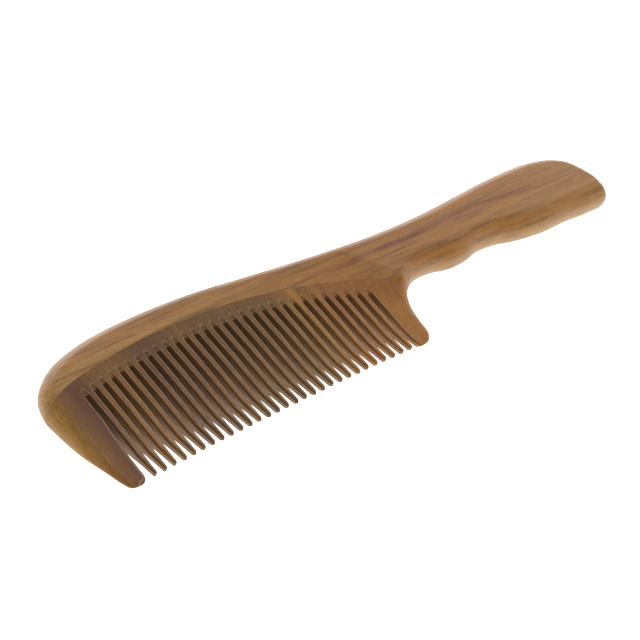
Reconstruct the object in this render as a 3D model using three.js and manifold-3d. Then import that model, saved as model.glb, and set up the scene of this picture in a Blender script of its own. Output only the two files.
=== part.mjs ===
// A handled wooden comb: a long spine and handle in one board, and a tooth plate of five
// cross-grained boards glued into a groove in the spine. Millimetres, +Z up, lying on its back face.
// Drawing axes: x = 0 is the middle of the toothed length, y = 0 is the line of the slot ends there,
// +x runs to the handle, +y runs to the back of the comb. The finished group is moved so that the
// origin is the middle of the comb's box on its resting face.

import * as THREE from 'three';
import { ConvexGeometry } from 'three/addons/geometries/ConvexGeometry.js';
import { mergeVertices } from 'three/addons/utils/BufferGeometryUtils.js';
import Module from 'manifold-3d';

// Driving dimensions
const thickness = 10.5; // spine and handle, face to face
const pitch = 3.1; // tooth to tooth
const slotCount = 30;
const slotWidth = 1.4;
const slotRowShift = 0.1; // the row of slots sits this far towards the handle
const slotLean = 0.022; // the saw cuts lean towards the handle, per millimetre of their length
const toothTaper = 7.0; // length over which a tooth narrows to its tip
// How a slot opens out beside the tooth tips: share of the taper above the tip, half width
const slotMouth = [[1, slotWidth / 2], [0.37, 0.96], [0.09, 1.12], [0, 1.36]];
const jointGap = 0.3; // clearance between neighbouring boards
const tongueDepth = 3.0;
const tongueThickness = 3.0;
const tongueEnds = [-48, 46]; // the tongue stops short of both ends of the plate
const boardSeams = [6, 12, 17, 22]; // slots that lie on the seams between tooth boards
const edgeRounding = 0.88; // rounding at the outline, as a share of the half thickness there

// Half thickness across the toothed part: full at the spine, thin at the tooth tips
const half = thickness / 2;
const taperStart = 6.0;
const taperEnd = { y: -22.0, half: 1.2 };
const tipEnd = { y: -29.5, half: 0.8 };
const taperSlope = (half - taperEnd.half) / (taperStart - taperEnd.y);
const tipSlope = (taperEnd.half - tipEnd.half) / (taperEnd.y - tipEnd.y);
// The taper runs out towards the handle along a slanting shoulder
const shoulder = { x: 46.0, innerLean: 0.286, outerLean: 0.786 };

// Outline, counter-clockwise from the tip of the end guard tooth
const outlinePoints = [
  [-48.2, -29.0], [-30.0, -28.0], [0.0, -27.7], [30.0, -28.0], [46.5, -28.4], // tooth tips
  [50.4, -28.3], [52.5, -26.4], [53.6, -21.9], [54.6, -17.6], // guard tooth at the handle
  [57.1, -13.2], [61.2, -10.3], [65.9, -8.9], [72.2, -9.0], [78.1, -10.3], // finger notch
  [83.9, -10.3], [90.0, -9.2], [97.3, -9.5], [105.2, -11.3], [115.0, -12.5], // finger waves
  [125.0, -12.5], [134.0, -13.5], [139.6, -11.9], [141.1, -6.4], [140.4, -0.8], // handle end
  [138.0, 3.8], [132.9, 7.2], [125.0, 9.1], [113.0, 9.5], [98.0, 8.8], // back of the handle
  [80.0, 7.8], [60.0, 8.1], [40.0, 9.8], [20.0, 12.1], [0.0, 14.4], // back of the comb
  [-18.0, 14.9], [-34.0, 13.9], [-46.0, 10.6], [-53.0, 5.3], // shoulder at the free end
  [-55.4, -0.4], [-55.5, -5.9], [-54.9, -13.8], [-53.0, -22.0], [-51.7, -26.6], // end guard tooth
  [-50.6, -28.5],
];
const samplesPerSpan = 3;

// Glue line between the spine and the tooth plate
const jointPoints = [
  [-62.0, -3.4], [-54.0, -0.2], [-46.0, 2.3], [-34.0, 4.2], [-19.0, 5.4], [-3.0, 5.1],
  [10.0, 4.0], [24.0, 1.6], [36.0, -1.5], [46.0, -4.8], [54.0, -8.6], [62.0, -14.6],
];
const plateEnd = 62.0; // beyond this everything belongs to the handle

// Heights above and below the middle of the thickness at which the rounded edge is faceted
const edgeLevels = [0, 0.8, 1.7, 3.0, 4.2, 4.9, half];

// Slot ends lie on a shallow arch, tooth tips on a flatter one. Both are polynomials in
// x / archHalf, and both drop towards the ends of the toothed length.
const archHalf = 45;
const slotArch = [0.35, -2.84, -5.36, -0.73, -0.87];
const tipArch = [-27.7, 0, -0.7];

const outsideMargin = 6; // how far cutters reach past the comb
const tongueRoot = 1; // how far a tongue's block runs back into its board

const wasm = await Module();
wasm.setup();

function toSolid(geometry) {
  const bare = geometry.clone();
  bare.deleteAttribute('normal');
  bare.deleteAttribute('uv');
  const merged = mergeVertices(bare, 1e-4);
  return new wasm.Manifold(new wasm.Mesh({
    numProp: 3,
    vertProperties: new Float32Array(merged.attributes.position.array),
    triVerts: new Uint32Array(merged.index.array),
  }));
}

function toGeometry(solid) {
  const mesh = solid.getMesh();
  const geometry = new THREE.BufferGeometry();
  geometry.setAttribute('position', new THREE.BufferAttribute(mesh.vertProperties, 3));
  geometry.setIndex(new THREE.BufferAttribute(mesh.triVerts, 1));
  geometry.computeVertexNormals();
  return geometry;
}

function prism(points, zLow, zHigh) {
  const shape = new THREE.Shape(points.map(([x, y]) => new THREE.Vector2(x, y)));
  const geometry = new THREE.ExtrudeGeometry(shape, { depth: zHigh - zLow, bevelEnabled: false });
  geometry.translate(0, 0, zLow);
  return toSolid(geometry);
}

function splinePoints(points, closed, divisions) {
  const corners = points.map(([x, y]) => new THREE.Vector3(x, y, 0));
  const curve = new THREE.CatmullRomCurve3(corners, closed, 'centripetal');
  const spans = closed ? points.length : points.length - 1;
  const count = spans * divisions + (closed ? 0 : 1);
  return Array.from({ length: count }, (_, i) => {
    const p = curve.getPoint(i / (spans * divisions));
    return [p.x, p.y];
  });
}

// Half thickness of the finished comb at a place on its face
function halfThickness(x, y) {
  if (y >= taperStart) return half;
  const onPlate = y > taperEnd.y
    ? half - taperSlope * (taperStart - y)
    : taperEnd.half - tipSlope * (taperEnd.y - y);
  const inner = shoulder.x + shoulder.innerLean * (taperStart - y);
  const outer = shoulder.x + shoulder.outerLean * (taperStart - y);
  const share = THREE.MathUtils.clamp((x - inner) / (outer - inner), 0, 1);
  return onPlate + (half - onPlate) * share;
}

// How far the rounded edge draws in at a height from the middle of the thickness
function edgeInset(x, y, height) {
  const local = halfThickness(x, y);
  const lift = Math.min(Math.abs(height) / local, 1);
  return edgeRounding * local * (1 - Math.sqrt(1 - lift * lift));
}

function onArch(arch, x) {
  return arch.reduce((sum, factor, power) => sum + factor * (x / archHalf) ** power, 0);
}

// Where a slot's middle line, or a seam's, lies at a height on the face
function leaning(x, y) {
  return x + slotRowShift - slotLean * y;
}

// The whole outline as one slab with rounded edges
function roundedSlab(outline) {
  const levels = [...edgeLevels.slice(1).map((z) => -z).reverse(), ...edgeLevels];
  const steps = levels.length - 1;
  const shape = new THREE.Shape(outline.map(([x, y]) => new THREE.Vector2(x, y)));
  const geometry = new THREE.ExtrudeGeometry(shape, { depth: steps, steps, bevelEnabled: false });
  const normals = outline.map((_, i) => {
    const [x0, y0] = outline.at(i - 1);
    const [x1, y1] = outline[(i + 1) % outline.length];
    return new THREE.Vector2(y1 - y0, x0 - x1).normalize();
  });
  const position = geometry.attributes.position;
  for (let i = 0; i < position.count; i += 1) {
    const x = position.getX(i);
    const y = position.getY(i);
    const k = nearest(outline, x, y);
    const level = levels[Math.round(position.getZ(i))];
    const inset = edgeInset(outline[k][0], outline[k][1], level);
    position.setXYZ(
      i,
      outline[k][0] - normals[k].x * inset,
      outline[k][1] - normals[k].y * inset,
      half + level,
    );
  }
  return toSolid(geometry);
}

function nearest(points, x, y) {
  let best = 0;
  let bestDistance = Infinity;
  points.forEach(([px, py], i) => {
    const distance = (px - x) ** 2 + (py - y) ** 2;
    if (distance < bestDistance) {
      best = i;
      bestDistance = distance;
    }
  });
  return best;
}

// The wedge of wood taken off one face so that the teeth thin towards their tips
function faceTaper(side) {
  const left = outline[0][0] - 3 * outsideMargin;
  const far = tipEnd.y - outsideMargin;
  const farHalf = tipEnd.half - tipSlope * outsideMargin;
  const inner = shoulder.x + shoulder.innerLean * (taperStart - taperEnd.y);
  const outer = shoulder.x + shoulder.outerLean * (taperStart - taperEnd.y);
  const above = half + outsideMargin;
  const corners = [
    [left, taperStart, half], [left, taperEnd.y, taperEnd.half], [left, far, farHalf],
    [shoulder.x, taperStart, half], [inner, taperEnd.y, taperEnd.half], [inner, far, farHalf],
    [outer, taperEnd.y, half], [outer, far, half],
    [left, taperStart, above], [left, far, above],
    [shoulder.x, taperStart, above], [outer, taperEnd.y, above], [outer, far, above],
  ];
  return toSolid(new ConvexGeometry(
    corners.map(([x, y, z]) => new THREE.Vector3(x, y, half + side * z)),
  ));
}

// One slot between teeth, opening out where the teeth taper to their tips
function slotCutter(index) {
  const x = slotX(index);
  const top = onArch(slotArch, x);
  const tip = onArch(tipArch, x);
  const side = [
    [slotWidth / 2, top],
    ...slotMouth.map(([share, halfWidth]) => [halfWidth, tip + share * toothTaper]),
    [slotMouth.at(-1)[1], tip - outsideMargin],
  ];
  const outlineOfSlot = [
    ...side.map(([halfWidth, y]) => [leaning(x, y) - halfWidth, y]),
    ...side.reverse().map(([halfWidth, y]) => [leaning(x, y) + halfWidth, y]),
  ];
  return prism(outlineOfSlot, -outsideMargin, thickness + outsideMargin);
}

function slotX(index) {
  return (index - (slotCount - 1) / 2) * pitch;
}

// The blank that the boards are cut from
const outline = splinePoints(outlinePoints, true, samplesPerSpan);
const joint = splinePoints(jointPoints, false, samplesPerSpan);
const blank = roundedSlab(outline).subtract(faceTaper(1)).subtract(faceTaper(-1));

const xs = outline.map(([x]) => x);
const ys = outline.map(([, y]) => y);
const centre = {
  x: (Math.min(...xs) + Math.max(...xs)) / 2,
  y: (Math.min(...ys) + Math.max(...ys)) / 2,
};
const low = -outsideMargin;
const high = thickness + outsideMargin;
const back = Math.max(...ys) + outsideMargin;
const front = Math.min(...ys) - outsideMargin;
const start = Math.min(...xs) - 2 * outsideMargin;

// A band that follows the glue line, from one offset to another
function alongJoint(offsetLow, offsetHigh, from, to, zLow, zHigh) {
  const inside = joint.filter(([x]) => x > from && x < to);
  return prism([
    ...inside.map(([x, y]) => [x, y + offsetLow]),
    ...inside.reverse().map(([x, y]) => [x, y + offsetHigh]),
  ], zLow, zHigh);
}

function tongue(clearance) {
  const reach = tongueDepth + clearance;
  const rise = tongueThickness / 2 + clearance;
  const [from, to] = tongueEnds;
  return alongJoint(-tongueRoot, reach, from - clearance, to + clearance, half - rise, half + rise);
}

function makeSpine() {
  const rest = joint.map(([x, y]) => [x, y + jointGap / 2]);
  const region = prism([
    [start, back],
    [start, rest[0][1]],
    ...rest,
    [plateEnd, front],
    [Math.max(...xs) + outsideMargin, front],
    [Math.max(...xs) + outsideMargin, back],
  ], low, high);
  return blank.intersect(region).subtract(tongue(jointGap));
}

function makeToothBoards() {
  const rest = joint.map(([x, y]) => [x, y - jointGap / 2]);
  const region = prism([
    [start, front],
    [plateEnd - jointGap, front],
    ...rest.reverse(),
    [start, rest.at(-1)[1]],
  ], low, high);
  let plate = blank.intersect(region).add(tongue(0));
  for (let i = 0; i < slotCount; i += 1) plate = plate.subtract(slotCutter(i));
  const edges = [start, ...boardSeams.map(slotX), plateEnd];
  return edges.slice(1).map((to, i) => {
    const left = edges[i] + jointGap / 2;
    const right = to - jointGap / 2;
    const corners = [[left, front], [right, front], [right, back], [left, back]];
    return plate.intersect(prism(corners.map(([x, y]) => [leaning(x, y), y]), low, high));
  });
}

const finishes = {
  spine: { color: '#a8774a', roughness: 0.42, metalness: 0 },
  oliveBoard: { color: '#85663f', roughness: 0.48, metalness: 0 },
  brownBoard: { color: '#96663b', roughness: 0.48, metalness: 0 },
};

const comb = new THREE.Group();

function addBoard(name, solid, finish) {
  const mesh = new THREE.Mesh(toGeometry(solid), new THREE.MeshStandardMaterial(finish));
  mesh.name = name;
  mesh.position.set(-centre.x, -centre.y, 0);
  comb.add(mesh);
}

addBoard('spine_handle', makeSpine(), finishes.spine);
makeToothBoards().forEach((solid, i) => {
  const atHandle = i === boardSeams.length;
  addBoard(`tooth_block_${i + 1}`, solid, atHandle ? finishes.brownBoard : finishes.oliveBoard);
});

export default comb;
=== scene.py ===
import math

import bpy
import bmesh
import numpy as np
from mathutils import Matrix, Vector


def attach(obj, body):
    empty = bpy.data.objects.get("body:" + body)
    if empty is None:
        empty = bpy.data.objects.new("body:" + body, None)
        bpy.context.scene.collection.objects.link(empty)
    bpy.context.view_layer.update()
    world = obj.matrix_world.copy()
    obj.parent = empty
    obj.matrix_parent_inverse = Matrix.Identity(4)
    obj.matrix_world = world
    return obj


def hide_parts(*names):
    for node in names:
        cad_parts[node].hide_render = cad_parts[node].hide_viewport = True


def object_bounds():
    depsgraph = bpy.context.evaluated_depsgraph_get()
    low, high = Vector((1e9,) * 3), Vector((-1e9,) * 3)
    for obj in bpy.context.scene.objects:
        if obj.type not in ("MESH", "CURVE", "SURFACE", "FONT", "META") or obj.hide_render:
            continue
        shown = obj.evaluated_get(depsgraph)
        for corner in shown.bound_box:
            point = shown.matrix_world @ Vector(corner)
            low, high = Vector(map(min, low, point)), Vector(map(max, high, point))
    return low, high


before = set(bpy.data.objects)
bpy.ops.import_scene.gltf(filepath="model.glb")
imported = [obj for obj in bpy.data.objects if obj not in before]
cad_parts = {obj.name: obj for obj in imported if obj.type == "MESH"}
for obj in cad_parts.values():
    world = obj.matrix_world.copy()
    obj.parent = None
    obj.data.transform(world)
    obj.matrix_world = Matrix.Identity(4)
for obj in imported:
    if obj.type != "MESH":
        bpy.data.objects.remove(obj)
cadLow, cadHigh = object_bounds()  # the CAD model's box, before anything is replaced
print("frame loaded:", sorted(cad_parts))

# A wooden comb, glued up from one long spine and five short tooth boards, then sawn and sanded.
# The comb's shape, in millimetres. Drawing axes: x = 0 in the middle of the toothed length,
# y = 0 at the slot ends there, z = 0 in the middle of the thickness. toFrame() moves them
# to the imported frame.

comb = {
    "thickness": 10.5,
    "pitch": 3.1,
    "slots": 30,
    "slotWidth": 1.4,
    "slotRowShift": 0.1,  # the whole row of slots sits this far towards the handle
    "slotLean": 0.022,  # the saw cuts lean towards the handle, per mm of their length
    "archHalf": 45.0,
    "slotArch": [0.35, -2.84, -5.36, -0.73, -0.87],  # slot ends, in powers of x / archHalf
    "tipArch": [-27.7, 0.0, -0.7],  # tooth tips, the same way
    "taper": [(-29.5, 0.8), (-22.0, 1.2), (-10.0, 3.15), (6.0, 5.25)],  # (y, half thickness)
    "shoulderX": 46.0,  # where the taper runs out towards the handle
    "shoulderLean": (0.286, 0.786),
    "edgeReach": 3.7,  # how far in from the outline the edge is rounded, at full thickness
    "edgeCurve": (1.3, 0.5),  # a crease where the flat face ends, then a full round
    "tipReach": (-30.0, 5.0, 0.5),  # the rounding shrinks below this y, over this length
    "outline": [
        (-48.2, -29.0), (-30.0, -28.0), (0.0, -27.7), (30.0, -28.0), (46.5, -28.7),
        (50.5, -28.55), (52.6, -26.4), (53.6, -21.9), (54.6, -17.6),
        (57.1, -13.2), (61.2, -10.3), (65.9, -8.9), (72.2, -9.0), (78.1, -10.3),
        (83.9, -10.3), (90.0, -9.2), (97.3, -9.5), (105.2, -11.3), (115.0, -12.5),
        (125.0, -12.5), (133.5, -13.05), (140.2, -12.6), (142.1, -7.4), (140.6, -0.9),
        (138.0, 3.8), (132.9, 7.2), (125.0, 9.1), (113.0, 9.5), (98.0, 8.8),
        (80.0, 7.8), (60.0, 8.1), (40.0, 9.8), (20.0, 12.1), (0.0, 14.4),
        (-18.0, 14.9), (-34.0, 13.9), (-46.0, 10.6), (-53.0, 5.3),
        (-55.4, -0.4), (-55.5, -5.9), (-54.9, -13.8), (-53.0, -22.0), (-51.7, -26.6),
        (-50.6, -28.5),
    ],
    "joint": [
        (-62.0, -3.4), (-54.0, -0.2), (-46.0, 2.3), (-34.0, 4.2), (-19.0, 5.4), (-3.0, 5.1),
        (10.0, 4.0), (24.0, 1.6), (36.0, -1.5), (46.0, -4.8), (54.0, -8.6), (62.0, -14.6),
    ],
    "centre": (42.7455, -7.0437),  # the middle of the CAD model's box, on the drawing
    "samples": 14,  # per span of the outline
    "seamGap": 0.03,  # hairline left between glued boards
}
half = comb["thickness"] / 2
toothRootHalf = (comb["pitch"] - comb["slotWidth"]) / 2
seamHalf = comb["seamGap"] / 2
leastLength = 1e-6  # keeps a division in mm away from nothing


def spline(points, closed, samples):  # centripetal Catmull-Rom through the points
    p = np.array(points, float)
    if closed:
        ring = np.vstack([p[-1:], p, p[:2]])
    else:
        ring = np.vstack([2 * p[0] - p[1], p, 2 * p[-1] - p[-2]])
    out = []
    for i in range(len(ring) - 3):
        a, b, c, d = ring[i:i + 4]
        t0 = 0.0
        t1 = t0 + np.linalg.norm(b - a) ** 0.5
        t2 = t1 + np.linalg.norm(c - b) ** 0.5
        t3 = t2 + np.linalg.norm(d - c) ** 0.5
        t = np.linspace(t1, t2, samples, endpoint=False)[:, None]
        ab = (t1 - t) / (t1 - t0) * a + (t - t0) / (t1 - t0) * b
        bc = (t2 - t) / (t2 - t1) * b + (t - t1) / (t2 - t1) * c
        cd = (t3 - t) / (t3 - t2) * c + (t - t2) / (t3 - t2) * d
        abc = (t2 - t) / (t2 - t0) * ab + (t - t0) / (t2 - t0) * bc
        bcd = (t3 - t) / (t3 - t1) * bc + (t - t1) / (t3 - t1) * cd
        out.append((t2 - t) / (t2 - t1) * abc + (t - t1) / (t2 - t1) * bcd)
    if not closed:
        out.append(p[-1:])
    return np.vstack(out)


outline = spline(comb["outline"], True, comb["samples"])
jointLine = spline(comb["joint"], False, comb["samples"])
cadCentre = (np.array(cadLow) + np.array(cadHigh)) / 2 * 1000
toFrameShift = cadCentre - (*comb["centre"], 0)
print("drawing to frame:", toFrameShift)


def toFrame(points):
    return (np.asarray(points, float) + toFrameShift) / 1000


def slotX(k):
    return (k - (comb["slots"] - 1) / 2) * comb["pitch"]


def leaning(x, y):  # where a slot's or a tooth's middle line lies at a height on the face
    return x + comb["slotRowShift"] - comb["slotLean"] * y


def onArch(arch, x):
    return sum(factor * (x / comb["archHalf"]) ** power for power, factor in enumerate(arch))


def slotEnd(x):
    return onArch(comb["slotArch"], x)


def toothTip(x):
    return onArch(comb["tipArch"], x)


def jointY(x):
    return np.interp(x, jointLine[:, 0], jointLine[:, 1])


def smooth(t):
    t = np.clip(t, 0, 1)
    return t * t * (3 - 2 * t)


def plainHalf(x, y):  # half thickness before any edge is rounded
    ys, hs = zip(*comb["taper"])
    plate = np.interp(y, ys, hs)
    drop = np.maximum(ys[-1] - y, leastLength)
    inner = comb["shoulderX"] + comb["shoulderLean"][0] * drop
    outer = comb["shoulderX"] + comb["shoulderLean"][1] * drop
    share = smooth((x - inner) / (outer - inner))
    return plate + (half - plate) * share


def distanceTo(points, line, batch=4000):  # from each point to a polyline
    a, b = line[:-1], line[1:]
    d = b - a
    squared = np.maximum((d**2).sum(1), meshing["tiny"])
    best = np.full(len(points), np.inf)
    for start in range(0, len(points), batch):
        p = points[start:start + batch]
        rel = p[:, None, :] - a[None]
        t = np.clip((rel * d[None]).sum(2) / squared, 0, 1)
        gap = rel - t[..., None] * d[None]
        best[start:start + batch] = np.sqrt((gap**2).sum(2)).min(1)
    return best


def quarterRound(distance, radius):  # 0 at the edge, 1 from the radius inwards
    t = np.clip(distance / radius, 0, 1)
    return np.sqrt(1 - (1 - t) ** 2)


closedOutline = np.vstack([outline, outline[:1]])

# Each board's mesh starts as flat patches of quads. They are welded, lifted to the comb's two
# faces, and closed by walls along every free edge.

meshing = {
    "tiny": 1e-12,  # stands in for a length or a cross product of nothing
    "weldGrid": 5000,  # patch points that share a cell of this many per mm are one point
    "leastFace": 1e-9,  # flat faces under this area, in square mm, are left out
    "mergeReach": 2e-7,  # in metres, on the finished board
    "degenerateReach": 1e-7,
    "sharpAngle": 42,  # degrees
}


def resample(line, fractions):
    line = np.asarray(line, float)
    step = np.r_[0, np.cumsum(np.linalg.norm(np.diff(line, axis=0), axis=1))]
    at = np.asarray(fractions) * step[-1]
    return np.c_[np.interp(at, step, line[:, 0]), np.interp(at, step, line[:, 1])]


def weld(patches):
    grid = meshing["weldGrid"]
    keys, points, faces = {}, [], []
    for patch in patches:
        n, m = patch.shape[:2]
        index = np.empty((n, m), int)
        for i in range(n):
            for j in range(m):
                key = (round(patch[i, j, 0] * grid), round(patch[i, j, 1] * grid))
                if key not in keys:
                    keys[key] = len(points)
                    points.append(patch[i, j])
                index[i, j] = keys[key]
        for i in range(n - 1):
            for j in range(m - 1):
                corners = [index[i, j], index[i, j + 1], index[i + 1, j + 1], index[i + 1, j]]
                face = [c for k, c in enumerate(corners) if c != corners[k - 1]]
                if len(set(face)) >= 3:  # a quad may close up to a triangle at a tip
                    faces.append(face)
    return np.array(points), faces


def faceUp(points, faces):  # every flat face counter-clockwise
    out = []
    for face in faces:
        p = points[face]
        area = np.sum(p[:, 0] * np.roll(p[:, 1], -1) - np.roll(p[:, 0], -1) * p[:, 1])
        if abs(area) > meshing["leastFace"]:
            out.append(face if area > 0 else face[::-1])
    return out


def buildBoard(name, patches, liftOf):
    points, flat = weld(patches)
    flat = faceUp(points, flat)
    lift, marks = liftOf(points)
    n = len(points)
    faces = [list(f) for f in flat] + [[c + n for c in reversed(f)] for f in flat]
    owned = {(a, b) for f in flat for a, b in zip(f, f[1:] + f[:1])}
    faces += [[b, a, a + n, b + n] for a, b in sorted(owned) if (b, a) not in owned]
    mesh = bpy.data.meshes.new(name)
    both = np.vstack([np.c_[points, lift], np.c_[points, -lift]])
    mesh.from_pydata(toFrame(both).tolist(), [], faces)
    for key, values in {"faceHeight": lift, **marks}.items():
        attribute = mesh.attributes.new(key, "FLOAT", "POINT")
        attribute.data.foreach_set("value", np.r_[values, values].astype(np.float32))
    bm = bmesh.new()
    bm.from_mesh(mesh)
    bmesh.ops.remove_doubles(bm, verts=bm.verts, dist=meshing["mergeReach"])
    bmesh.ops.dissolve_degenerate(bm, edges=bm.edges, dist=meshing["degenerateReach"])
    bmesh.ops.recalc_face_normals(bm, faces=bm.faces)
    bm.to_mesh(mesh)
    bm.free()
    mesh.polygons.foreach_set("use_smooth", [True] * len(mesh.polygons))
    mesh.set_sharp_from_angle(angle=math.radians(meshing["sharpAngle"]))
    piece = bpy.data.objects.new(name, mesh)
    bpy.context.scene.collection.objects.link(piece)
    print(name, len(mesh.polygons), "faces")
    return piece


def edgeSteps(count):  # fine steps at both ends, coarse in the middle
    return (1 - np.cos(np.linspace(0, math.pi, count))) / 2


def crossing(line, other):  # first point where two polylines cross, with its place on the first
    for i in range(len(line) - 1):
        p, r = line[i], line[i + 1] - line[i]
        q, s = other[:-1], np.diff(other, axis=0)
        cross = r[0] * s[:, 1] - r[1] * s[:, 0]
        cross = np.where(np.abs(cross) < meshing["tiny"], np.nan, cross)
        t = ((q - p)[:, 0] * s[:, 1] - (q - p)[:, 1] * s[:, 0]) / cross
        v = ((q - p)[:, 0] * r[1] - (q - p)[:, 1] * r[0]) / cross
        hit = np.where((t >= 0) & (t < 1) & (v >= 0) & (v < 1))[0]
        if len(hit):
            return i, p + t[hit[0]] * r
    raise ValueError("the lines do not cross")


def outlinePart(start, end):  # along the outline, counter-clockwise, from one index to another
    if end <= start:
        end += len(outline)
    return outline[np.arange(start, end + 1) % len(outline)]


def nearestOutline(x, y):
    return int(np.argmin(((outline - (x, y)) ** 2).sum(1)))


# where the glue line meets the outline, at the free end and in the finger notch
lineStart, jointStart = crossing(jointLine, closedOutline)
lineEnd, jointEnd = crossing(jointLine[::-1], closedOutline)
lineEnd = len(jointLine) - 1 - lineEnd
jointInside = np.vstack([[jointStart], jointLine[lineStart + 1:lineEnd], [jointEnd]])


def outlineLift(points):  # half thickness with the comb's outer edge rounded
    x, y = points.T
    plain = plainHalf(x, y)
    low, length, least = comb["tipReach"]
    reach = comb["edgeReach"] * np.sqrt(plain / half) * np.clip((y - low) / length, least, 1)
    distance = distanceTo(points, closedOutline)
    crease, roundness = comb["edgeCurve"]
    return plain * (1 - (1 - np.clip(distance / reach, 0, 1)) ** crease) ** roundness


spine = {
    "columns": 300,
    "jointShare": 0.6,  # of the columns
    "rows": 40,
    "noseColumns": 1.6,  # how much the columns crowd towards the handle's end
    "handleTip": (142.1, -7.4),
}


def makeSpine():
    tipOfHandle = nearestOutline(*spine["handleTip"])
    startIndex = nearestOutline(*jointStart)
    endIndex = nearestOutline(*jointEnd)
    lowerHandle = outlinePart(endIndex, tipOfHandle)[1:]
    upper = outlinePart(tipOfHandle, startIndex)[::-1]
    jointColumns = round(spine["columns"] * spine["jointShare"])
    handleColumns = spine["columns"] - jointColumns
    underSpine = resample(jointInside + [0, seamHalf], np.linspace(0, 1, jointColumns))
    fine = 1 - (1 - np.linspace(0, 1, handleColumns + 1)) ** spine["noseColumns"]
    underHandle = resample(np.vstack([jointEnd, lowerHandle]), fine)[1:]
    lower = np.vstack([underSpine, underHandle])
    # the upper side has as many columns, spread by length as the lower ones are
    total = np.r_[0, np.cumsum(np.linalg.norm(np.diff(lower, axis=0), axis=1))]
    upperPoints = resample(upper, total / total[-1])
    grid = np.stack([lower * (1 - u) + upperPoints * u for u in edgeSteps(spine["rows"])])
    grid[:, 0] = lower[0]
    grid[:, -1] = lower[-1]
    return buildBoard("spineHandle", [grid], lambda points: (outlineLift(points), {}))


tooth = {
    "edge": [(-24.0, 0.55), (-14.0, 0.45), (-3.0, 0.25)],  # (y, rounding of the sides)
    "taperLength": 6.2,  # a tooth reaches its full width this far above its tip
    "tipHalf": [(-45.0, 0.42), (-28.0, 0.49), (20.0, 0.52), (45.0, 0.62)],  # (x, half width)
    "taperPower": 1.2,
    "tipRound": 0.75,  # radius of its end
    "tipDrift": [(-45.0, -0.4), (-34.0, 0.0)],  # the first teeth lean less
    "tipScatter": (0.06, 0.12, 0.03),  # hand finishing: tips stray in x, y and half width
    "scatterSeed": 7,
    "runOutLength": 1.8,  # scoop that the saw leaves beyond each slot
    "runOutDepth": 0.55,
    "runOutArch": 3.5,  # how square the scoop's far end is
    "runOutSides": 4,  # and how square its floor is across
    "runOutRim": (0.95, 0.2),  # the rim's place and half width, as shares of the scoop
    "runOutStart": -0.005,  # the scoop is measured from just below the slot's end
    "edgeShare": 0.5,  # the sides are rounded by no more than this share of the thickness
    "sideReach": 3,  # sideRound stops growing here, in roundings
    "tipRows": [0, 0.012, 0.05, 0.11, 0.19, 0.29, 0.42, 0.58, 0.8, 1.05, 1.35],  # mm above a tip
    "rowSpan": 27,  # the tooth length that tipRows is stated for
    "rowsAbove": 34,
    "acrossTooth": [0, 0.03, 0.08, 0.15, 0.24, 0.37, 0.5, 0.63, 0.76, 0.85, 0.92, 0.97, 1],
    "acrossSlot": [0, 0.15, 0.3, 0.42, 0.51, 0.58, 0.63, 0.67, 0.7],  # from its middle, in mm
    "bandRows": [
        0, 0.006, 0.018, 0.035, 0.06, 0.09, 0.12, 0.15, 0.18, 0.21, 0.24, 0.265, 0.285, 0.305,
        0.32, 0.335, 0.35, 0.365, 0.38, 0.4, 0.43, 0.48, 0.54, 0.62, 0.72, 0.82, 0.91, 0.97, 1,
    ],
}
boardSeams = [6, 12, 17, 22]  # slots on the seams between boards
scatter = np.random.default_rng(tooth["scatterSeed"]).uniform(-1, 1, (comb["slots"], 3))
scatter = scatter * tooth["tipScatter"]


def toothHalf(v, tipHalf):  # half width of a tooth at a height above its tip
    t = np.clip(v / tooth["taperLength"], 0, 1) ** tooth["taperPower"]
    return (tipHalf + (toothRootHalf - tipHalf) * t) * quarterRound(v, tooth["tipRound"])


def gradedRows(near, span, count):  # shares of a length: fine rows near a tip, then even ones
    near = np.array(near) / span
    return np.r_[near, np.linspace(near[-1], 1, count)[1:]]


def toothSides(t):  # the two edges of tooth t, from its tip to the slot ends
    x = slotX(t) + comb["pitch"] / 2
    strayX, strayY, strayHalf = scatter[t]
    tip = toothTip(x) + strayY
    strayX += np.interp(x, *zip(*tooth["tipDrift"]))
    tipHalf = np.interp(x, *zip(*tooth["tipHalf"])) + strayHalf
    rows = gradedRows(tooth["tipRows"], tooth["rowSpan"], tooth["rowsAbove"])
    sides = []
    for sign, slot in ((-1, t), (1, t + 1)):
        top = slotEnd(slotX(slot))
        v = (top - tip) * rows
        stray = strayX * (1 - v / v[-1]) ** 2
        width = toothHalf(v, tipHalf)
        sides.append(np.c_[leaning(x, tip + v) + stray + sign * width, tip + v])
    return sides


def straight(a, b, shares):
    s = np.asarray(shares)[:, None]
    return np.asarray(a) * (1 - s) + np.asarray(b) * s


def bandPatch(lower, upper):
    return np.stack([lower * (1 - s) + upper * s for s in tooth["bandRows"]])


def underJoint(points):
    return np.c_[points[:, 0], jointY(points[:, 0]) - seamHalf]


# The guards are the wide end teeth. Each is a patch from its inner edge, which follows a slot,
# to the comb's outline, and a second patch from there to the glue line.

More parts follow.
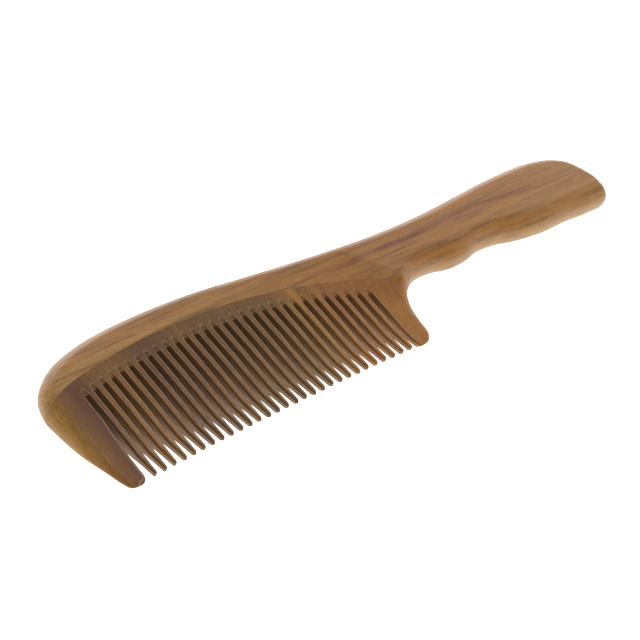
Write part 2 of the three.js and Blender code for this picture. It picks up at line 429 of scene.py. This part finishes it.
guards = {
    "free": {
        "side": -1,
        "slot": 0,
        "tip": (-48.2, -29.0),
        "inner": [
            (-46.75, -28.6), (-46.15, -27.6), (-45.9, -25.2), (-45.75, -21.5), (-45.62, -15.0),
        ],
        "straightFrom": -10.0,  # above this y the inner edge follows the slot
        "outerTop": (-55.5, -4.2),
        "corner": jointStart,
    },
    "handle": {
        "side": 1,
        "slot": comb["slots"] - 1,
        "tip": (48.5, -28.9),
        "inner": [(47.2, -28.75), (46.5, -27.9), (46.2, -25.8), (46.15, -23.2)],
        "straightFrom": -20.8,
        "outerTop": (55.4, -15.6),
        "corner": jointEnd,
    },
    "samples": 10,  # per span of the inner edge
    "tipRows": [  # mm above the tip
        0, 0.02, 0.07, 0.15, 0.27, 0.42, 0.6, 0.82, 1.1, 1.45, 1.9, 2.4, 3.0,
    ],
    "rowsAbove": 36,
    "across": [
        0, 0.004, 0.012, 0.022, 0.036, 0.06, 0.1, 0.16, 0.23, 0.31, 0.4, 0.49, 0.58,
        0.66, 0.73, 0.79, 0.845, 0.89, 0.925, 0.953, 0.975, 0.99, 0.998, 1,
    ],
}


def guardInner(guard):
    x = slotX(guard["slot"])
    low, high = [
        (leaning(x, y) + guard["side"] * comb["slotWidth"] / 2, y)
        for y in (guard["straightFrom"], slotEnd(x))
    ]
    tip = outline[nearestOutline(*guard["tip"])]
    curve = spline([tuple(tip), *guard["inner"], low], False, guards["samples"])
    return np.vstack([curve, high])


def guardPatches(guard):
    inner = guardInner(guard)
    length = np.linalg.norm(np.diff(inner, axis=0), axis=1).sum()
    shares = gradedRows(guards["tipRows"], length, guards["rowsAbove"])
    topIndex = nearestOutline(*guard["outerTop"])
    tipIndex = nearestOutline(*guard["tip"])
    if guard["side"] < 0:
        outer = outlinePart(topIndex, tipIndex)[::-1]
    else:
        outer = outlinePart(tipIndex, topIndex)
    rows = zip(resample(inner, shares), resample(outer, shares))
    patch = np.stack([straight(p, q, guards["across"]) for p, q in rows])
    upperX = straight([inner[-1][0]], [guard["corner"][0]], guards["across"])
    upper = underJoint(upperX)
    band = bandPatch(patch[-1], upper)
    fromIndex, toIndex = sorted([topIndex, nearestOutline(*guard["corner"])])
    edge = outline[fromIndex:toIndex + 1]
    if topIndex > fromIndex:
        edge = edge[::-1]
    edge = resample(np.vstack([edge[:-1], upper[-1]]), tooth["bandRows"])
    bow = edge - band[:, -1]
    band += np.array(guards["across"])[None, :, None] * bow[:, None]
    return [patch, band], inner


def boardPatches(first, last):  # first and last: the slots at the board's seams, or None
    patches, walls = [], []
    slots = range(0 if first is None else first, comb["slots"] if last is None else last + 1)
    right = np.array(tooth["acrossSlot"])
    for k in slots:
        top = slotEnd(slotX(k))
        across = np.r_[-right[:0:-1], right]
        if k == first:
            across = np.r_[seamHalf, right[1:]]
        if k == last:
            across = np.r_[-right[:0:-1], -seamHalf]
        lower = np.c_[leaning(slotX(k), top) + across, np.full(len(across), top)]
        patches.append(bandPatch(lower, underJoint(lower)))
        walls.append(lower)
    for t in range(slots[0], slots[-1]):
        sides = toothSides(t)
        patch = np.stack([straight(a, b, tooth["acrossTooth"]) for a, b in zip(*sides)])
        patches.append(patch)
        patches.append(bandPatch(patch[-1], underJoint(patch[-1])))
        walls += sides
    for guard, isMine in ((guards["free"], first is None), (guards["handle"], last is None)):
        if isMine:
            guardPair, inner = guardPatches(guard)
            patches += guardPair
            walls.append(inner)
    return patches, walls


def runOut(points, k):  # depth of the scoop beyond slot k, and how near its rim is
    x, y = points.T
    top = slotEnd(slotX(k))
    arch = tooth["runOutArch"]
    above = (y - top) / tooth["runOutLength"]
    aside = np.abs(x - leaning(slotX(k), top))
    inside = np.clip(1 - np.clip(above, 0, 1) ** arch, 0, 1)
    halfWidth = comb["slotWidth"] / 2 * inside ** (1 / arch) + leastLength
    floorShare = 1 - np.clip(aside / halfWidth, 0, 1) ** tooth["runOutSides"]
    depth = tooth["runOutDepth"] * (1 - np.clip(above, 0, 1)) * floorShare
    ring = np.clip(above, 0, None) ** arch + (2 * aside / comb["slotWidth"]) ** arch
    rimPlace, rimHalf = tooth["runOutRim"]
    rim = np.clip(1 - np.abs(ring ** (1 / arch) - rimPlace) / rimHalf, 0, 1)
    reached = above > tooth["runOutStart"]
    return np.where(reached & (above < 1), depth, 0), np.where(reached, rim, 0)


def boardLift(walls, slots):
    def lift(points):
        z = outlineLift(points)
        reach = np.full(len(points), np.inf)
        for line in walls:
            reach = np.minimum(reach, distanceTo(points, line))
        groove = np.zeros(len(points))
        rim = np.zeros(len(points))
        for k in slots:
            depth, ring = runOut(points, k)
            groove, rim = np.maximum(groove, depth), np.maximum(rim, ring)
        ys, radii = zip(*tooth["edge"])
        radius = np.interp(points[:, 1], ys, radii)
        edge = np.minimum(radius, tooth["edgeShare"] * z + leastLength)
        cut = edge * (1 - quarterRound(reach, radius))
        side = np.clip(reach / radius, 0, tooth["sideReach"])  # 1 where the flat face starts
        return np.clip(z - cut - groove, 0, None), {"scoopRim": rim, "sideRound": side}
    return lift


def makeBoards():
    boards = []
    for i, (first, last) in enumerate(zip([None, *boardSeams], [*boardSeams, None])):
        patches, walls = boardPatches(first, last)
        slots = range(first or 0, (last or comb["slots"] - 1) + 1)
        boards.append(buildBoard(f"toothBoard{i + 1}", patches, boardLift(walls, slots)))
    return boards


spineHandle = makeSpine()
toothBoards = makeBoards()

# Wood is drawn by nodes in the comb's own millimetres, so the grain runs through each piece.
# A value named ...Turn eases from 0 to 1 between its two numbers, or to its last two if it has
# them; Depth, Side and Face values do the same.

finish = {
    "light": 0.95,  # how bright a level face is under the studio light
    "gloss": (0.036, 0.043, 0.057),  # what its polish adds
    "darkest": 0.004,
    "pore": (0.42, 0.33, 0.27, 1),  # what a pore leaves of the colour round it
    "slotShadePainted": (0.200, 0.116, 0.054, 1),  # painted shade on the sawn sides of the teeth, near the slot ends
    "slotLightPainted": (0.43, 0.285, 0.160, 1),  # and paler painted light near the tips
    "wallTurn": (-21, -3),  # between these heights
    "wallDepth": (-0.1, 0.6),  # from the face down, in mm
    "wallShare": 0.7,
    "faceDepth": (0.25, 0),  # the painted shading shows only this near the face
    "roundShadePainted": (0.075, 0.040, 0.016, 1),  # painted shade where the sides of the teeth turn over
    "roundSide": (0.95, 0.2),  # in roundings, from the flat face towards the side
    "creaseHighlight": (0.42, 0.29, 0.17, 1),  # a painted highlight along the crease between the two
    "creaseHighlightSide": (0.6, 1.0),
    "creaseHighlightFace": (1.75, 1.15),
    "highlightPatches": {"grain": (0.9, 0.3, 0.9), "seed": 31},
    "highlightPatchTurn": (0.3, 0.6, 0.35, 1),
    # a painted glint on the rims of the saw scoops
    "scoopRimGlint": (0.36, 0.27, 0.18, 1),
    "polishCloud": {"grain": (0.12, 0.12, 0.12), "seed": 41},
    "roughness": (0.3, 0.7, 0.36, 0.56),  # from these noise values to these roughnesses
    "relief": 0.00005,
    "reliefStrength": 0.6,
    "coatRoughness": 0.3,
    "sheen": 0.06,
    "sheenRoughness": 0.4,
}


def tone(r, g, b):  # the colour a level face shows, as 0 to 255, turned into the wood's own
    linear = [((c / 255 + 0.055) / 1.055) ** 2.4 for c in (r, g, b)]
    wood = [(c - gloss) / finish["light"] for c, gloss in zip(linear, finish["gloss"])]
    return (*[max(finish["darkest"], c) for c in wood], 1)


class Graph:  # builds one material's nodes
    seedStep = (7.3, 3.1, 1.7)  # each seed reads the noise this far along
    middle = (0.3, 0.7)  # the values that most of a noise lies between

    def __init__(self, name):
        self.material = bpy.data.materials.new(name)
        self.material.use_nodes = True
        self.tree = self.material.node_tree
        self.shader = self.tree.nodes["Principled BSDF"]
        coords = self.node("ShaderNodeTexCoord").outputs["Object"]
        self.point = self.node("ShaderNodeMapping", {
            "Vector": coords,
            "Scale": (1000, 1000, 1000),
            "Location": tuple(float(-s) for s in toFrameShift),
        }).outputs[0]
        self.x, self.y, self.z = self.node("ShaderNodeSeparateXYZ", {0: self.point}).outputs

    def node(self, kind, inputs=None, **settings):
        node = self.tree.nodes.new(kind)
        for key, value in settings.items():
            setattr(node, key, value)
        for key, value in (inputs or {}).items():
            self.plug(node.inputs[key], value)
        return node

    def plug(self, socket, value):
        if isinstance(value, bpy.types.NodeSocket):
            self.tree.links.new(value, socket)
        else:
            socket.default_value = value

    def calc(self, operation, *values):
        return self.node("ShaderNodeMath", dict(enumerate(values)), operation=operation).outputs[0]

    def product(self, *values):
        result = values[0]
        for value in values[1:]:
            result = self.calc("MULTIPLY", result, value)
        return result

    def noise(self, point, grain, seed, detail=3, roughness=0.55):  # grain: cycles per mm
        place = self.node("ShaderNodeMapping", {
            "Vector": point,
            "Scale": grain,
            "Location": tuple(seed * step for step in self.seedStep),
        }).outputs[0]
        return self.node("ShaderNodeTexNoise", {
            "Vector": place, "Scale": 1, "Detail": detail, "Roughness": roughness,
        }).outputs[0]

    def noises(self, point, table, firstSeed=0):
        return {
            name: self.noise(point, **{**values, "seed": firstSeed + values["seed"]})
            for name, values in table.items()
        }

    def ease(self, value, low, high, start=0, end=1):
        return self.node("ShaderNodeMapRange", {
            "Value": value, "From Min": low, "From Max": high, "To Min": start, "To Max": end,
        }, interpolation_type="SMOOTHSTEP").outputs[0]

    def ramp(self, value, stops):
        node = self.node("ShaderNodeValToRGB", {0: value})
        elements = node.color_ramp.elements
        elements.remove(elements[1])
        elements[0].position, elements[0].color = stops[0]
        for place, colour in stops[1:]:
            elements.new(place).color = colour
        return node.outputs[0]

    def along(self, value, stops):  # a ramp whose places are in mm
        low, high = stops[0][0], stops[-1][0]
        share = self.node("ShaderNodeMapRange", {
            "Value": value, "From Min": low, "From Max": high,
        }).outputs[0]
        return self.ramp(share, [((place - low) / (high - low), c) for place, c in stops])

    def curve(self, value, knots, margin=1):  # a smooth line through (x, y) places, in mm
        xs, ys = zip(*knots)
        low, high = min(ys) - margin, max(ys) + margin
        share = self.node("ShaderNodeMapRange", {
            "Value": value, "From Min": xs[0], "From Max": xs[-1],
        }).outputs[0]
        node = self.node("ShaderNodeFloatCurve", {"Value": share})
        points = node.mapping.curves[0].points
        places = [((x - xs[0]) / (xs[-1] - xs[0]), (y - low) / (high - low)) for x, y in knots]
        points[0].location, points[1].location = places[0], places[-1]
        for place in places[1:-1]:
            points.new(*place)
        node.mapping.update()
        return self.node("ShaderNodeMapRange", {
            "Value": node.outputs[0], "To Min": low, "To Max": high,
        }).outputs[0]

    def blend(self, share, under, over, mode="MIX"):
        mixer = self.node("ShaderNodeMix", data_type="RGBA", blend_type=mode)
        self.plug(mixer.inputs[0], share)
        self.plug(mixer.inputs[6], under)
        self.plug(mixer.inputs[7], over)
        return mixer.outputs[2]

    def tint(self, share, colour, factor):  # multiplies a share of the colour by another
        return self.blend(share, colour, self.blend(1, colour, factor, "MULTIPLY"))

    def shade(self, colour, value, low, high):  # darker and lighter with a noise
        greys = [(at, (grey, grey, grey, 1)) for at, grey in zip(self.middle, (low, high))]
        return self.blend(1, colour, self.ramp(value, greys), "MULTIPLY")

    def attribute(self, name):
        return self.node("ShaderNodeAttribute", attribute_name=name).outputs["Fac"]

    def bent(self, grain, seed, reach):  # the point moved sideways by a slow noise
        shift = self.noise(self.point, grain, seed, detail=2)
        moved = self.calc("MULTIPLY_ADD", shift, 2 * reach, -reach)
        vector = self.node("ShaderNodeCombineXYZ", {0: moved, 1: moved}).outputs[0]
        return self.node("ShaderNodeVectorMath", {0: self.point, 1: vector}).outputs[0]

    def streak(self, under, mark, across, lengthwise, breakup):  # one listed mark
        line = self.curve(lengthwise, mark["line"])
        off = self.calc("ABSOLUTE", self.calc("SUBTRACT", across, line))
        body = self.ease(off, mark["width"] / 2, mark["width"] * streaks["core"])
        low, high = mark["line"][0][0], mark["line"][-1][0]
        fade = mark.get("fade", (high - low) * streaks["fadeShare"])
        ends = self.product(
            self.ease(lengthwise, low, low + fade), self.ease(lengthwise, high, high - fade),
        )
        share = self.product(body, ends, self.ease(breakup, *streaks["breakup"]))
        return self.blend(self.product(share, mark["strength"]), under, tone(*mark["colour"]))

    def depth(self):  # how far below the face a point on a tooth's side is, in mm
        return self.calc("SUBTRACT", self.attribute("faceHeight"), self.calc("ABSOLUTE", self.z))

    def paintSlotShade(self, colour):  # painted shade on the sawn sides of the teeth, with paler painted light towards the tips
        shade = self.blend(self.ease(self.y, *finish["wallTurn"]),
                           finish["slotLightPainted"], finish["slotShadePainted"])
        share = self.product(self.ease(self.depth(), *finish["wallDepth"]), finish["wallShare"])
        return self.blend(share, colour, shade)

    def paintedShading(self, colour, shares):  # painted shade and highlights on the edges of the teeth and the rims of the scoops
        patchy = self.ease(self.noise(self.point, **finish["highlightPatches"]), *finish["highlightPatchTurn"])
        face = self.ease(self.depth(), *finish["faceDepth"])
        side = self.attribute("sideRound")
        # painted shade on the rounded edges of the teeth
        paintedRoundShade = self.product(self.ease(side, *finish["roundSide"]), shares["round"], face)
        colour = self.blend(paintedRoundShade, colour, finish["roundShadePainted"])
        # a painted highlight along the crease where the flat face turns into the side
        crease = self.product(
            self.ease(side, *finish["creaseHighlightSide"]), self.ease(side, *finish["creaseHighlightFace"]),
        )
        crease = self.product(crease, face, patchy, shares["crease"])
        colour = self.blend(crease, colour, finish["creaseHighlight"])
        # a painted glint on the rims of the saw scoops
        rim = self.product(self.attribute("scoopRim"), face, patchy, shares["scoop"])
        return self.blend(rim, colour, finish["scoopRimGlint"])

    def varnish(self, colour, fibre, pores, polish):
        cloud = self.noise(self.point, **finish["polishCloud"])
        dullness = self.calc("MULTIPLY_ADD", fibre, 0.5, self.calc("MULTIPLY", cloud, 0.5))
        relief = self.node("ShaderNodeBump", {
            "Height": self.calc("SUBTRACT", fibre, pores),
            "Distance": finish["relief"],
            "Strength": finish["reliefStrength"],
        }).outputs[0]
        for name, value in {
            "Base Color": colour,
            "Roughness": self.ease(dullness, *finish["roughness"]),
            "Normal": relief,
            "Specular IOR Level": polish["specular"],
            "Coat Weight": polish["coat"],
            "Coat Roughness": finish["coatRoughness"],
            "Sheen Weight": finish["sheen"],
            "Sheen Roughness": finish["sheenRoughness"],
        }.items():
            self.plug(self.shader.inputs[name], value)
        return self.material


streaks = {
    "core": 0.1,  # the part of a streak's width with its full colour
    "fadeShare": 0.2,  # of its length, at each end
    "breakup": (0.3, 0.55),
}

spineWood = {  # its grain runs along the comb
    "tones": [  # (x, colour)
        (-56, (157, 121, 86)), (-20, (152, 115, 80)), (20, (148, 108, 74)),
        (60, (148, 107, 72)), (100, (150, 110, 75)), (141, (155, 116, 81)),
    ],
    "toneDrift": 12,  # mm either way
    "bend": {"grain": (0.018, 0.10, 0.10), "seed": 3, "reach": 1.1},
    "noises": {
        "broad": {"grain": (0.020, 0.30, 0.30), "seed": 1},
        "band": {"grain": (0.036, 1.15, 0.8), "seed": 2, "detail": 5, "roughness": 0.62},
        "fibre": {"grain": (0.24, 4.6, 4.0), "seed": 5, "detail": 4, "roughness": 0.6},
        "tick": {"grain": (0.42, 7.5, 6.0), "seed": 6, "detail": 2},
        "mottle": {"grain": (0.30, 1.5, 1.5), "seed": 8, "detail": 4, "roughness": 0.6},
        "speckle": {"grain": (1.3, 3.2, 3.2), "seed": 14, "detail": 2},
        "hue": {"grain": (0.03, 0.42, 0.4), "seed": 12},
        "breakup": {"grain": (0.10, 1.8, 1.8), "seed": 9},
    },
    "broad": (0.88, 1.11),  # how dark and how light each noise makes the wood
    "band": (0.84, 1.16),
    "mottle": (0.90, 1.09),
    "speckle": (0.90, 1.09),
    "fibre": (0.86, 1.13),
    "dark": (0.64, 0.55, 0.42, 1),  # the darkest bands
    "darkTurn": (0.50, 0.32, 0, 0.7),
    "hues": [(0.38, (0.99, 1.03, 0.92, 1)), (0.62, (1.04, 0.94, 0.86, 1))],  # golden, russet
    "hueShare": 0.85,
    "edgeLightPainted": (0.48, 0.36, 0.17, 1),  # painted pale light on the turned edges, where they catch the bright surroundings
    "edgeTurn": (3.0, 1.0, 0, 0.20),
    "tickTurn": (0.40, 0.33),
    "tickBandTurn": (0.7, 0.35, 0.35, 1),  # pores gather where the wood is dark
    "poreShare": 0.55,
    "wander": 0.35,  # how much the marks follow the bent grain
    "polish": {"specular": 0.36, "coat": 0.08},
    "marks": [  # dark and pale streaks, each along an (x, y) line
        {"line": [(22, 2.2), (35, 1.7), (50, 0.8), (70, 0.3), (90, 0.8), (100, 0.2),
                  (112, -1.0), (125, -2.6), (137, -3.7)],
         "width": 2.6, "strength": 0.55, "colour": (116, 70, 38), "fade": 28},
        {"line": [(54, 0.9), (60, 0.8), (70, 0.25), (77, 0.5)],
         "width": 1.9, "strength": 0.75, "colour": (104, 60, 30), "fade": 5},
        {"line": [(84, -0.4), (91, -1.0), (98, -1.6)],
         "width": 0.8, "strength": 0.6, "colour": (110, 70, 38)},
        {"line": [(56, -3.2), (61, -3.5), (66, -3.9)],
         "width": 0.7, "strength": 0.6, "colour": (110, 70, 38)},
        {"line": [(64, -4.0), (76, -5.2), (90, -4.6)],
         "width": 1.0, "strength": 0.35, "colour": (112, 72, 46)},
        {"line": [(73, -5.2), (77, -6.0), (82, -6.3)],
         "width": 2.4, "strength": 0.45, "colour": (104, 68, 44)},
        {"line": [(-24, 10.7), (-17, 10.9), (-11, 10.7)],
         "width": 0.5, "strength": 0.55, "colour": (116, 82, 54)},
        {"line": [(-42, 8.0), (-24, 8.3), (-4, 8.0)],
         "width": 0.6, "strength": 0.45, "colour": (120, 84, 56)},
        {"line": [(-33, 7.2), (-27, 7.4), (-21, 7.4)],
         "width": 0.8, "strength": 0.75, "colour": (116, 70, 38)},
        {"line": [(-48, 5.5), (-30, 5.9), (-14, 6.4)],
         "width": 0.6, "strength": 0.5, "colour": (172, 138, 102)},
        {"line": [(-52, 2.6), (-43, 3.7), (-33, 5.0)],
         "width": 1.0, "strength": 0.55, "colour": (112, 78, 50)},
        {"line": [(38, -1.8), (46, -2.8), (53, -3.4)],
         "width": 0.7, "strength": 0.45, "colour": (112, 72, 46)},
    ],
}


def makeSpineWood(wood):
    g = Graph("spineWood")
    p = g.bent(**wood["bend"])
    grain = g.noises(p, wood["noises"])
    drift = wood["toneDrift"]
    x = g.calc("MULTIPLY_ADD", grain["broad"], 2 * drift, g.calc("ADD", g.x, -drift))
    colour = g.along(x, [(place, tone(*shown)) for place, shown in wood["tones"]])
    colour = g.shade(colour, grain["broad"], *wood["broad"])
    colour = g.tint(g.ease(grain["band"], *wood["darkTurn"]), colour, wood["dark"])
    for name in ("band", "mottle", "speckle"):
        colour = g.shade(colour, grain[name], *wood[name])
    colour = g.tint(wood["hueShare"], colour, g.ramp(grain["hue"], wood["hues"]))
    # painted light on the turned edges of the spine
    edge = g.ease(g.calc("ABSOLUTE", g.z), *wood["edgeTurn"])
    colour = g.blend(edge, colour, wood["edgeLightPainted"])
    bentY = g.node("ShaderNodeSeparateXYZ", {0: p}).outputs[1]
    across = g.calc("MULTIPLY_ADD", g.calc("SUBTRACT", bentY, g.y), wood["wander"], g.y)
    for mark in wood["marks"]:
        colour = g.streak(colour, mark, across, g.x, grain["breakup"])
    colour = g.shade(colour, grain["fibre"], *wood["fibre"])
    pores = g.product(
        g.ease(grain["tick"], *wood["tickTurn"]), g.ease(grain["broad"], *wood["tickBandTurn"]),
    )
    colour = g.tint(g.product(pores, wood["poreShare"]), colour, finish["pore"])
    # paintSlotShade paints shade into the slot walls and paler light near the tips
    return g.varnish(g.paintSlotShade(colour), grain["fibre"], pores, wood["polish"])


boardWoods = [  # each board's own tones, as (x, colour), and marks, as (y, x) lines
    {
        "seed": 11, "tones": [
            # painted light: the stops from x -56 to -52 make the guard's rounded left rim paler
            (-56, (168, 132, 92)), (-54, (150, 116, 78)), (-52, (127, 95, 63)),
            (-49, (112, 82, 52)), (-47, (99, 73, 45)),
            (-45, (100, 75, 47)), (-41, (118, 88, 57)), (-36, (128, 96, 64)),
            (-31, (121, 91, 60)), (-26, (110, 82, 56)),
        ],
        "marks": [
            {"line": [(-14, -43.5), (-4, -44.5), (4, -45.5)], "width": 2.2,
             "strength": 0.3, "colour": (98, 80, 46)},
        ],
    },
    {
        "seed": 23, "tones": [
            (-27, (105, 80, 56)), (-22, (104, 80, 56)), (-16, (108, 83, 58)),
            (-11, (116, 88, 63)), (-7, (114, 88, 62)),
        ],
        "marks": [],
    },
    {
        "seed": 37, "tones": [
            (-8, (112, 86, 60)), (-3, (109, 85, 57)), (1, (114, 88, 61)), (8, (113, 87, 61)),
        ],
        "marks": [
            {"line": [(0, -4.0), (3, -5.5), (6, -7.0)], "width": 4.0,
             "strength": 0.35, "colour": (128, 82, 54)},
        ],
    },
    {
        "seed": 53, "tones": [
            (7, (112, 87, 60)), (12, (114, 89, 62)), (17, (118, 92, 63)), (24, (132, 101, 68)),
        ],
        "marks": [
            {"line": [(-3, 15), (1, 14.8), (4, 15.4)], "width": 1.6,
             "strength": 0.35, "colour": (98, 84, 48)},
        ],
    },
    {
        "seed": 71, "paintedShading": {"scoop": 0.22}, "tones": [
            (23, (146, 109, 73)), (25.5, (144, 108, 72)), (28, (130, 95, 62)),
            (31, (148, 106, 68)), (34, (131, 90, 57)), (37, (142, 102, 66)),
            (42, (141, 99, 63)), (50, (146, 103, 68)), (60, (150, 103, 64)),
        ],
        "marks": [
            {"line": [(-4, 24.5), (-1, 24.2), (3, 24.0)], "width": 3.4,
             "strength": 0.5, "colour": (168, 114, 66)},
            {"line": [(-1.6, 27.0), (-0.5, 27.0), (0.8, 27.1)], "width": 0.8,
             "strength": 0.8, "colour": (84, 52, 32)},
        ],
    },
]
boardGrain = {  # what the tooth boards share; their grain runs along the teeth
    "toneDrift": 1.5,
    "bend": {"grain": (0.10, 0.020, 0.10), "reach": 0.9},
    "noises": {  # seeds count on from the board's own
        "broad": {"grain": (0.26, 0.030, 0.26), "seed": 1},
        "band": {"grain": (1.3, 0.016, 0.8), "seed": 2, "detail": 5, "roughness": 0.62},
        "fibre": {"grain": (5.5, 0.20, 4.0), "seed": 3, "detail": 4, "roughness": 0.6},
        "tick": {"grain": (8.5, 0.5, 6.0), "seed": 4, "detail": 2},
        "mottle": {"grain": (1.7, 0.38, 1.7), "seed": 5, "detail": 4, "roughness": 0.6},
        "speckle": {"grain": (3.4, 1.9, 3.4), "seed": 8, "detail": 2},
        "hue": {"grain": (0.55, 0.05, 0.55), "seed": 6},
    },
    "broad": (0.90, 1.09),
    "band": (0.76, 1.20),
    "mottle": (0.88, 1.10),
    "speckle": (0.86, 1.13),
    "fibre": (0.82, 1.15),
    "hues": [(0.35, (0.95, 1.04, 0.95, 1)), (0.65, (1.10, 0.95, 0.84, 1))],  # olive, reddish
    "hueShare": 0.5,
    "heights": [(-28, 1.10), (-18, 1.08), (-8, 0.95), (0, 0.93), (6, 0.96)],  # (y, brightness)
    "tickTurn": (0.42, 0.34),
    "poreShare": 0.5,
    # shares of painted shade on the rounded edges, painted highlight on the crease and painted
    # glint on the scoop rims
    "paintedShading": {"round": 0.22, "crease": 0.4, "scoop": 0.42},
    "polish": {"specular": 0.28, "coat": 0.04},  # the sawn boards shine less
}


def makeBoardWood(index, wood):
    g = Graph(f"boardWood{index + 1}")
    p = g.bent(seed=wood["seed"], **boardGrain["bend"])
    grain = g.noises(p, boardGrain["noises"], wood["seed"])
    drift = boardGrain["toneDrift"]
    x = g.calc("MULTIPLY_ADD", grain["broad"], 2 * drift, g.calc("ADD", g.x, -drift))
    colour = g.along(x, [(place, tone(*shown)) for place, shown in wood["tones"]])
    for name in ("broad", "band", "mottle", "speckle"):
        colour = g.shade(colour, grain[name], *boardGrain[name])
    colour = g.tint(boardGrain["hueShare"], colour, g.ramp(grain["hue"], boardGrain["hues"]))
    rise = g.along(g.y, [(y, (grey, grey, grey, 1)) for y, grey in boardGrain["heights"]])
    colour = g.blend(1, colour, rise, "MULTIPLY")
    for mark in wood["marks"]:
        colour = g.streak(colour, mark, g.x, g.y, grain["band"])
    colour = g.shade(colour, grain["fibre"], *boardGrain["fibre"])
    pores = g.ease(grain["tick"], *boardGrain["tickTurn"])
    colour = g.tint(g.product(pores, boardGrain["poreShare"]), colour, finish["pore"])
    # the slot walls get painted shade, with paler painted light near the tips
    colour = g.paintedShading(g.paintSlotShade(colour), {**boardGrain["paintedShading"], **wood.get("paintedShading", {})})
    return g.varnish(colour, grain["fibre"], pores, boardGrain["polish"])


spineHandle.data.materials.append(makeSpineWood(spineWood))
for i, (board, wood) in enumerate(zip(toothBoards, boardWoods)):
    board.data.materials.append(makeBoardWood(i, wood))
print("woods made")

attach(spineHandle, "root")
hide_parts("spine_handle")
for i, board in enumerate(toothBoards):
    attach(board, "root")
    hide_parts(f"tooth_block_{i + 1}")
print("pieces assigned")


stage = {
    "floorSize": 6.0,
    "floorColour": (0.93, 0.93, 0.93),
    "floorGlow": 1.05,
    "floorRoughness": 0.9,
    "sky": [  # (sine of the elevation, brightness)
        (0.0, 0.34), (0.2, 0.36), (0.42, 0.30), (0.64, 0.26), (0.8, 0.40), (1.0, 0.80),
    ],
    "skyStrength": 2.0,
    "panels": [  # soft panels and a dark flag: direction, fade and brightness
        ((0.82, 0.57, -1.0), (0.05, 0.90), 2.8),
        ((0.45, -0.89, -0.8), (0.35, 0.90), 0.30),
        ((-0.70, 0.0, 0.60), (0.55, 0.95), -0.30),
    ],
    "cameraAzimuth": -55.82,
    "cameraElevation": 42.23,
    "cameraRoll": 19.65,
    "cameraDistance": 0.59575,
    "cameraAim": (-0.01363, -0.00143, 0.00525),
    "cameraLens": 129.17,
    "cameraSensor": 36,
    "cameraNear": 0.01,
    "softboxPlace": (0.25, 0.1, 1.2),
    "softboxAim": (0, 0, 0),
    "softboxSize": 0.8,
    "softboxPower": 1.5,
}


def makeFloor():
    size = stage["floorSize"] / 2
    corners = [(-size, -size, 0), (size, -size, 0), (size, size, 0), (-size, size, 0)]
    mesh = bpy.data.meshes.new("floor")
    mesh.from_pydata(corners, [], [(0, 1, 2, 3)])
    floor = bpy.data.objects.new("floor", mesh)
    bpy.context.scene.collection.objects.link(floor)
    paper = bpy.data.materials.new("floorPaper")
    paper.use_nodes = True
    shader = paper.node_tree.nodes["Principled BSDF"]
    shader.inputs["Base Color"].default_value = (*stage["floorColour"], 1)
    shader.inputs["Roughness"].default_value = stage["floorRoughness"]
    shader.inputs["Emission Color"].default_value = (1, 1, 1, 1)
    shader.inputs["Emission Strength"].default_value = stage["floorGlow"]
    mesh.materials.append(paper)


def makeSoftbox():
    light = bpy.data.lights.new("softbox", "AREA")
    light.shape = "DISK"
    light.size = stage["softboxSize"]
    light.energy = stage["softboxPower"]
    lamp = bpy.data.objects.new("softbox", light)
    lamp.location = stage["softboxPlace"]
    aim = Vector(stage["softboxAim"]) - Vector(stage["softboxPlace"])
    lamp.rotation_mode = "QUATERNION"
    lamp.rotation_quaternion = aim.to_track_quat("-Z", "Y")
    bpy.context.scene.collection.objects.link(lamp)


def makeCamera():
    a, e = math.radians(stage["cameraAzimuth"]), math.radians(stage["cameraElevation"])
    back = Vector((math.sin(a) * math.cos(e), -math.cos(a) * math.cos(e), math.sin(e)))
    data = bpy.data.cameras.new("camera")
    data.lens = stage["cameraLens"]
    data.sensor_width = stage["cameraSensor"]
    data.clip_start = stage["cameraNear"]
    camera = bpy.data.objects.new("camera", data)
    place = Vector(stage["cameraAim"]) + back * stage["cameraDistance"]
    level = (-back).to_track_quat("-Z", "Y").to_matrix().to_4x4()
    turn = Matrix.Rotation(math.radians(stage["cameraRoll"]), 4, "Z")
    camera.matrix_world = Matrix.Translation(place) @ level @ turn
    bpy.context.scene.collection.objects.link(camera)
    bpy.context.scene.camera = camera


def makeSky():  # a tent of soft light, brightest near the floor and overhead
    world = bpy.data.worlds.new("sky")
    bpy.context.scene.world = world
    world.use_nodes = True
    tree = world.node_tree
    coords = tree.nodes.new("ShaderNodeTexCoord")
    split = tree.nodes.new("ShaderNodeSeparateXYZ")
    ramp = tree.nodes.new("ShaderNodeValToRGB")
    elements = ramp.color_ramp.elements
    elements.remove(elements[1])
    for i, (height, grey) in enumerate(stage["sky"]):
        element = elements[0] if i == 0 else elements.new(height)
        element.position, element.color = height, (grey, grey, grey, 1)
    background = tree.nodes["Background"]
    background.inputs["Strength"].default_value = stage["skyStrength"]
    tree.links.new(coords.outputs["Generated"], split.inputs[0])
    tree.links.new(split.outputs[2], ramp.inputs[0])
    light = ramp.outputs[0]
    for direction, cosines, brightness in stage["panels"]:
        towards = tree.nodes.new("ShaderNodeVectorMath")
        towards.operation = "DOT_PRODUCT"
        towards.inputs[1].default_value = direction
        tree.links.new(coords.outputs["Generated"], towards.inputs[0])
        fall = tree.nodes.new("ShaderNodeMapRange")
        fall.interpolation_type = "SMOOTHSTEP"
        fall.inputs["From Min"].default_value, fall.inputs["From Max"].default_value = cosines
        fall.inputs["To Max"].default_value = brightness / stage["skyStrength"]
        tree.links.new(towards.outputs["Value"], fall.inputs["Value"])
        total = tree.nodes.new("ShaderNodeMath")
        tree.links.new(light, total.inputs[0])
        tree.links.new(fall.outputs[0], total.inputs[1])
        light = total.outputs[0]
    tree.links.new(light, background.inputs["Color"])


makeFloor()
makeSky()
makeSoftbox()
makeCamera()
bpy.context.scene.view_settings.view_transform = "Standard"
print("stage ready")
